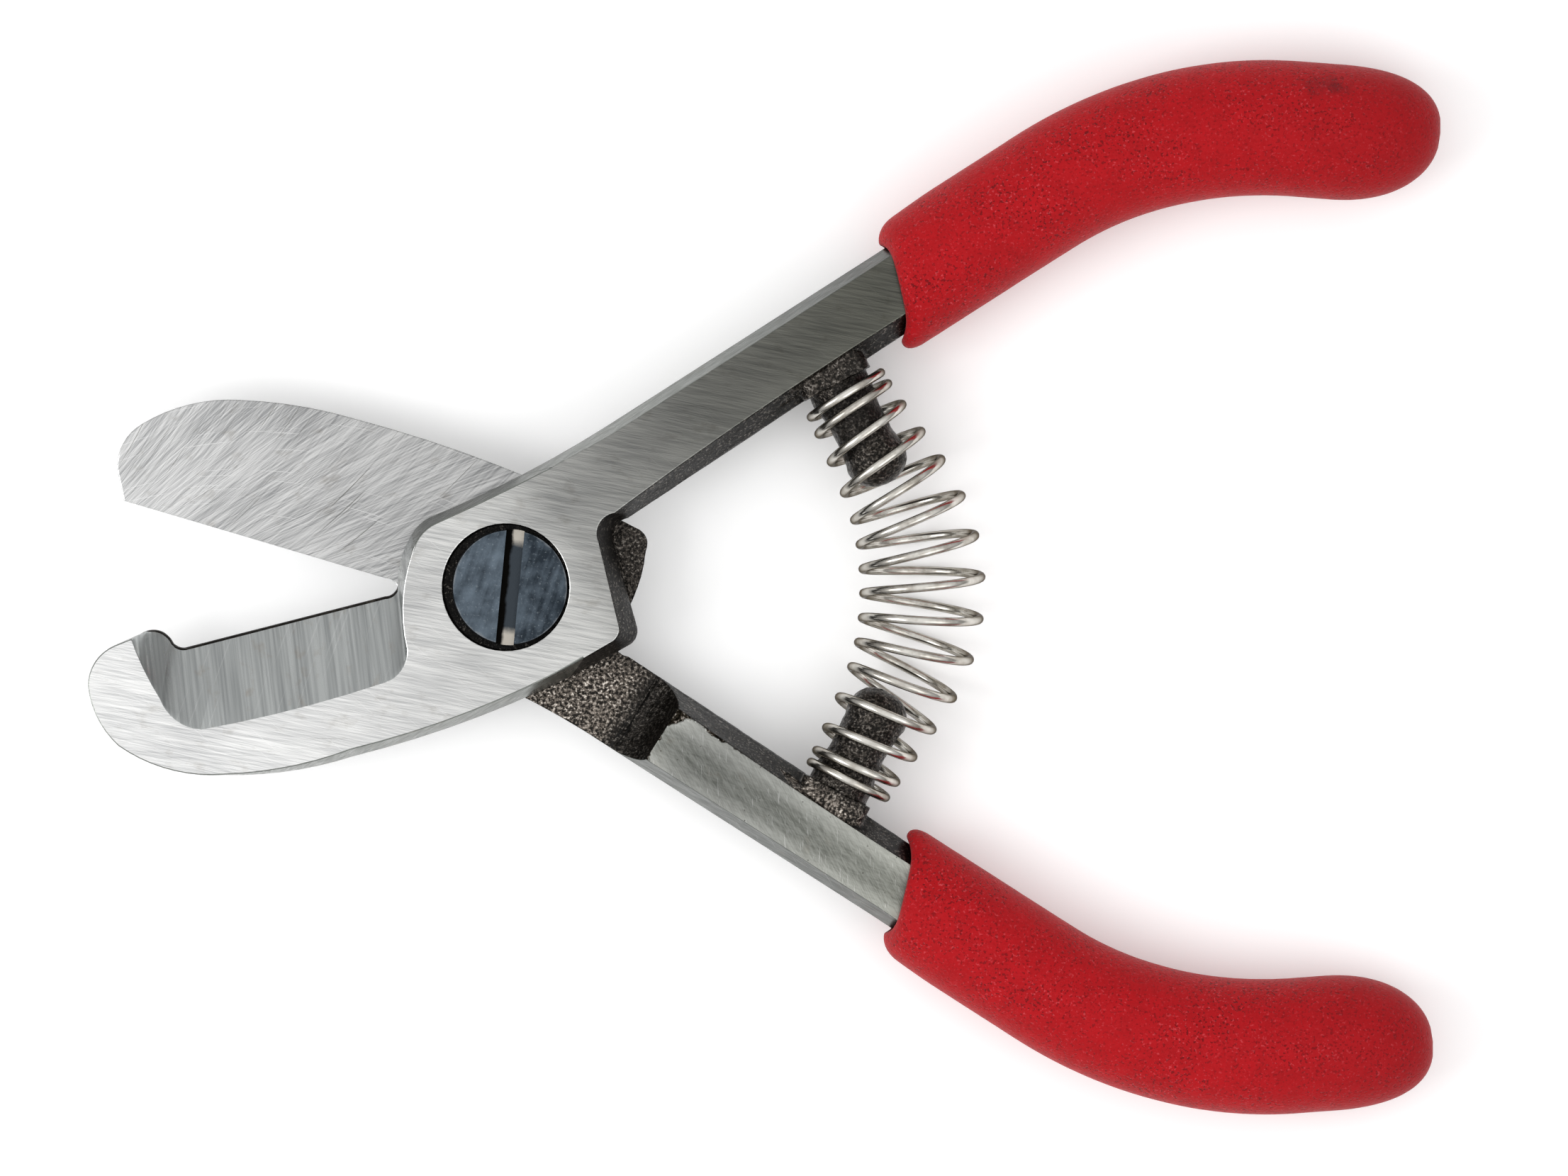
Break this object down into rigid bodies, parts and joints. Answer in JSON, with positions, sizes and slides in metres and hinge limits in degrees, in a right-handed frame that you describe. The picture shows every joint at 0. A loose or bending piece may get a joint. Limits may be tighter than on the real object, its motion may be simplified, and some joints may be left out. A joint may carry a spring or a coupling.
{
  "type": "hand snips",
  "caption": "Single-pivot hand snips with a hook jaw, a bypass blade, two sleeved handles and a bowed coil spring between forged pegs.",
  "frame": {"origin": "on the pivot axis, in the plane that the nut and the sleeves rest on", "axes": "+Z along the pivot axis, up towards the slotted head; +X from the jaws towards the handles; +Y towards the hook lever's handle"},
  "size_m": [0.18, 0.1404, 0.017],
  "materials": {
    "ground_steel": "ground faces over black forging scale",
    "forged_steel": "ground faces over black forging scale",
    "blued_steel": "blued, worn at the rim",
    "plain_steel": "oiled",
    "spring_steel": "bright drawn wire",
    "foam_rubber": "fine-pored matte foam"
  },
  "bodies": {
    "hook_side": {"hook_jaw_lever": "ground_steel", "upper_grip": "foam_rubber", "pivot_screw": "blued_steel", "head_disc": "plain_steel", "back_washer": "plain_steel", "lock_nut": "plain_steel", "return_spring": "spring_steel"},
    "blade_side": {"blade_jaw_lever": "forged_steel", "lower_grip": "foam_rubber"}
  },
  "joints": [
    {"name": "jaw_pivot", "type": "hinge", "parent": "hook_side", "child": "blade_side", "pos_m": [0, 0, 0.0085], "axis": [0, 0, 1], "range_deg": [0, 27], "stiffness_Nm_per_rad": 1.2, "deforming": ["return_spring"]}
  ]
}
